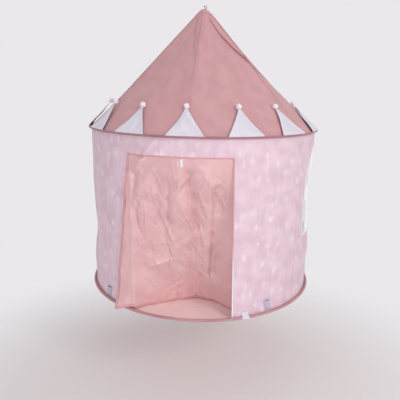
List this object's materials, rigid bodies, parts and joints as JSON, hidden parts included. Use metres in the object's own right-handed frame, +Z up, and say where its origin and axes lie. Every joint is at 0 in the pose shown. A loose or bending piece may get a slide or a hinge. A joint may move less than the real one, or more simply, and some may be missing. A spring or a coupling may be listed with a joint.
{
  "type": "kids play tent",
  "caption": "Round play tent hung from a loop: cone roof with pennants, cloth wall with a curtained door and mesh windows, floor sheet, and sprung hoops between which it folds flat.",
  "frame": {"origin": "where a hook bears at the top of the hang loop's eye, on the tent's axis", "axes": "+Z up along the tent's axis, -Y out of the door, +X to the right of someone facing the door"},
  "size_m": [1.067, 1.063, 1.2836],
  "materials": {
    "roof_cloth": "matt dusty rose woven polyester",
    "curtain_cloth": "light rose woven polyester, creased",
    "floor_cloth": "salmon rose woven polyester",
    "wall_cloth": "light pink-lilac woven polyester with a small white print",
    "pennant_cloth": "white satin",
    "pompon_yarn": "white fluffy yarn",
    "window_mesh": "white net",
    "white_tape": "white woven tape",
    "door_trim": "rose binding tape",
    "hoop_binding": "dark rose tape",
    "loop_webbing": "dark rose webbing",
    "pocket_cloth": "grey-lilac cloth",
    "spring_wire": "spring steel"
  },
  "bodies": {
    "crown": {"hang_loop": "loop_webbing", "crown_patch": "roof_cloth", "roof_gore_1": "roof_cloth", "roof_gore_2": "roof_cloth", "roof_gore_3": "roof_cloth", "roof_gore_4": "roof_cloth", "roof_gore_5": "roof_cloth", "roof_gore_6": "roof_cloth"},
    "eave": {"eave_hoop_wire": "spring_wire", "eave_hoop_binding": "hoop_binding", "wall_front_left": "wall_cloth", "wall_front_right": "wall_cloth", "wall_side_left": "wall_cloth", "wall_side_right": "wall_cloth", "wall_back_left": "wall_cloth", "wall_back_right": "wall_cloth", "door_header": "wall_cloth", "door_trim": "door_trim", "window_mesh_left": "window_mesh", "window_mesh_right": "window_mesh", "window_piping_left": "white_tape", "window_piping_right": "white_tape"},
    "curtain": {"door_curtain": "curtain_cloth", "curtain_tie_tab": "white_tape"},
    "base": {"base_hoop_wire": "spring_wire", "base_hoop_binding": "hoop_binding", "floor_sheet": "floor_cloth", "pole_pocket_front_left": "pocket_cloth", "pole_pocket_front_right": "pocket_cloth", "pole_pocket_back_left": "pocket_cloth", "pole_pocket_back_right": "pocket_cloth", "door_closure_tab": "white_tape"},
    "pennant_01": {"pennant_01": "pennant_cloth", "pompon_01": "pompon_yarn"},
    "pennant_02": {"pennant_02": "pennant_cloth", "pompon_02": "pompon_yarn"},
    "pennant_03": {"pennant_03": "pennant_cloth", "pompon_03": "pompon_yarn"},
    "pennant_04": {"pennant_04": "pennant_cloth", "pompon_04": "pompon_yarn"},
    "pennant_05": {"pennant_05": "pennant_cloth", "pompon_05": "pompon_yarn"},
    "pennant_06": {"pennant_06": "pennant_cloth", "pompon_06": "pompon_yarn"},
    "pennant_07": {"pennant_07": "pennant_cloth", "pompon_07": "pompon_yarn"},
    "pennant_08": {"pennant_08": "pennant_cloth", "pompon_08": "pompon_yarn"},
    "pennant_09": {"pennant_09": "pennant_cloth", "pompon_09": "pompon_yarn"},
    "pennant_10": {"pennant_10": "pennant_cloth", "pompon_10": "pompon_yarn"},
    "pennant_11": {"pennant_11": "pennant_cloth", "pompon_11": "pompon_yarn"},
    "pennant_12": {"pennant_12": "pennant_cloth", "pompon_12": "pompon_yarn"},
    "pennant_13": {"pennant_13": "pennant_cloth", "pompon_13": "pompon_yarn"},
    "pennant_14": {"pennant_14": "pennant_cloth", "pompon_14": "pompon_yarn"}
  },
  "joints": [
    {"name": "roof_fold", "type": "slide", "parent": "crown", "child": "eave", "axis": [0, 0, -1], "range_m": [-0.381, 0], "deforming": ["roof_gore_1", "roof_gore_2", "roof_gore_3", "roof_gore_4", "roof_gore_5", "roof_gore_6"]},
    {"name": "wall_fold", "type": "slide", "parent": "eave", "child": "base", "axis": [0, 0, -1], "range_m": [-0.54, 0], "deforming": ["wall_front_left", "wall_front_right", "wall_side_left", "wall_side_right", "wall_back_left", "wall_back_right", "door_header", "door_trim", "window_mesh_left", "window_mesh_right", "window_piping_left", "window_piping_right", "door_curtain"]},
    {"name": "curtain_lift", "type": "hinge", "parent": "eave", "child": "curtain", "pos_m": [0, -0.515, -0.6107], "axis": [-1, 0, 0], "range_deg": [0, 100]},
    {"name": "pennant_01_flip", "type": "hinge", "parent": "eave", "child": "pennant_01", "pos_m": [0.02855, -0.5272, -0.5271], "axis": [-0.9985, -0.0541, 0], "range_deg": [-195, 0]},
    {"name": "pennant_02_flip", "type": "hinge", "parent": "eave", "child": "pennant_02", "pos_m": [0.25478, -0.46318, -0.5271], "axis": [-0.8762, -0.482, 0], "range_deg": [-195, 0]},
    {"name": "pennant_03_flip", "type": "hinge", "parent": "eave", "child": "pennant_03", "pos_m": [0.43034, -0.30664, -0.5271], "axis": [-0.5803, -0.8144, 0], "range_deg": [-195, 0]},
    {"name": "pennant_04_flip", "type": "hinge", "parent": "eave", "child": "pennant_04", "pos_m": [0.52069, -0.08954, -0.5271], "axis": [-0.1695, -0.9855, 0], "range_deg": [-195, 0]},
    {"name": "pennant_05_flip", "type": "hinge", "parent": "eave", "child": "pennant_05", "pos_m": [0.5083, 0.14534, -0.5271], "axis": [0.2749, -0.9615, 0], "range_deg": [-195, 0]},
    {"name": "pennant_06_flip", "type": "hinge", "parent": "eave", "child": "pennant_06", "pos_m": [0.39429, 0.35095, -0.5271], "axis": [0.6649, -0.747, 0], "range_deg": [-195, 0]},
    {"name": "pennant_07_flip", "type": "hinge", "parent": "eave", "child": "pennant_07", "pos_m": [0.20331, 0.48809, -0.5271], "axis": [0.9231, -0.3845, 0], "range_deg": [-195, 0]},
    {"name": "pennant_08_flip", "type": "hinge", "parent": "eave", "child": "pennant_08", "pos_m": [-0.02855, 0.5272, -0.5271], "axis": [0.9985, 0.0541, 0], "range_deg": [-195, 0]},
    {"name": "pennant_09_flip", "type": "hinge", "parent": "eave", "child": "pennant_09", "pos_m": [-0.25478, 0.46318, -0.5271], "axis": [0.8762, 0.482, 0], "range_deg": [-195, 0]},
    {"name": "pennant_10_flip", "type": "hinge", "parent": "eave", "child": "pennant_10", "pos_m": [-0.43034, 0.30664, -0.5271], "axis": [0.5803, 0.8144, 0], "range_deg": [-195, 0]},
    {"name": "pennant_11_flip", "type": "hinge", "parent": "eave", "child": "pennant_11", "pos_m": [-0.52069, 0.08954, -0.5271], "axis": [0.1695, 0.9855, 0], "range_deg": [-195, 0]},
    {"name": "pennant_12_flip", "type": "hinge", "parent": "eave", "child": "pennant_12", "pos_m": [-0.5083, -0.14534, -0.5271], "axis": [-0.2749, 0.9615, 0], "range_deg": [-195, 0]},
    {"name": "pennant_13_flip", "type": "hinge", "parent": "eave", "child": "pennant_13", "pos_m": [-0.39429, -0.35095, -0.5271], "axis": [-0.6649, 0.747, 0], "range_deg": [-195, 0]},
    {"name": "pennant_14_flip", "type": "hinge", "parent": "eave", "child": "pennant_14", "pos_m": [-0.20331, -0.48809, -0.5271], "axis": [-0.9231, 0.3845, 0], "range_deg": [-195, 0]}
  ]
}
